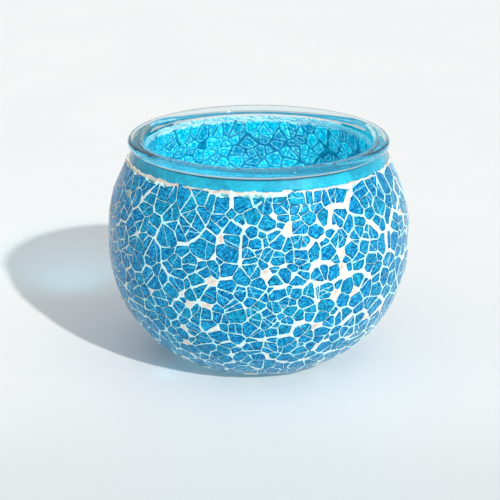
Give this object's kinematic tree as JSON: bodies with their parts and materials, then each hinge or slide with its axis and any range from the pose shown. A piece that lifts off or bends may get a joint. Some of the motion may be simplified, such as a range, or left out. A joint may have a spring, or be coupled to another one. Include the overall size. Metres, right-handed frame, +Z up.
{
  "type": "votive candle holder",
  "caption": "Round clear glass bowl with a rolled lip, dressed outside with blue crackle glass chips set in white grout, open on top to hold a votive candle.",
  "frame": {"origin": "centre of the flat foot, on the table", "axes": "+Z up along the bowl's axis; -Y faces the viewer, +X to the viewer's right"},
  "size_m": [0.1005, 0.1, 0.0747],
  "materials": {
    "clear_glass": "polished",
    "blue_tint": "gloss",
    "white_grout": "matte",
    "crackle_glass": "gloss"
  },
  "bodies": {
    "root": {"glass_bowl": "clear_glass", "tint_bed": "blue_tint", "grout": "white_grout", "foot_sheet_01": "crackle_glass", "foot_sheet_02": "crackle_glass", "foot_sheet_03": "crackle_glass", "foot_sheet_04": "crackle_glass", "foot_sheet_05": "crackle_glass", "foot_sheet_06": "crackle_glass", "foot_sheet_07": "crackle_glass", "foot_sheet_08": "crackle_glass", "lower_sheet_01": "crackle_glass", "lower_sheet_02": "crackle_glass", "lower_sheet_03": "crackle_glass", "lower_sheet_04": "crackle_glass", "lower_sheet_05": "crackle_glass", "lower_sheet_06": "crackle_glass", "lower_sheet_07": "crackle_glass", "lower_sheet_08": "crackle_glass", "lower_sheet_09": "crackle_glass", "lower_sheet_10": "crackle_glass", "lower_sheet_11": "crackle_glass", "belly_sheet_01": "crackle_glass", "belly_sheet_02": "crackle_glass", "belly_sheet_03": "crackle_glass", "belly_sheet_04": "crackle_glass", "belly_sheet_05": "crackle_glass", "belly_sheet_06": "crackle_glass", "belly_sheet_07": "crackle_glass", "belly_sheet_08": "crackle_glass", "belly_sheet_09": "crackle_glass", "belly_sheet_10": "crackle_glass", "belly_sheet_11": "crackle_glass", "belly_sheet_12": "crackle_glass", "belly_sheet_13": "crackle_glass", "shoulder_sheet_01": "crackle_glass", "shoulder_sheet_02": "crackle_glass", "shoulder_sheet_03": "crackle_glass", "shoulder_sheet_04": "crackle_glass", "shoulder_sheet_05": "crackle_glass", "shoulder_sheet_06": "crackle_glass", "shoulder_sheet_07": "crackle_glass", "shoulder_sheet_08": "crackle_glass", "shoulder_sheet_09": "crackle_glass", "shoulder_sheet_10": "crackle_glass", "shoulder_sheet_11": "crackle_glass", "collar_sheet_01": "crackle_glass", "collar_sheet_02": "crackle_glass", "collar_sheet_03": "crackle_glass", "collar_sheet_04": "crackle_glass", "collar_sheet_05": "crackle_glass", "collar_sheet_06": "crackle_glass", "collar_sheet_07": "crackle_glass", "collar_sheet_08": "crackle_glass", "collar_sheet_09": "crackle_glass"}
  },
  "joints": []
}
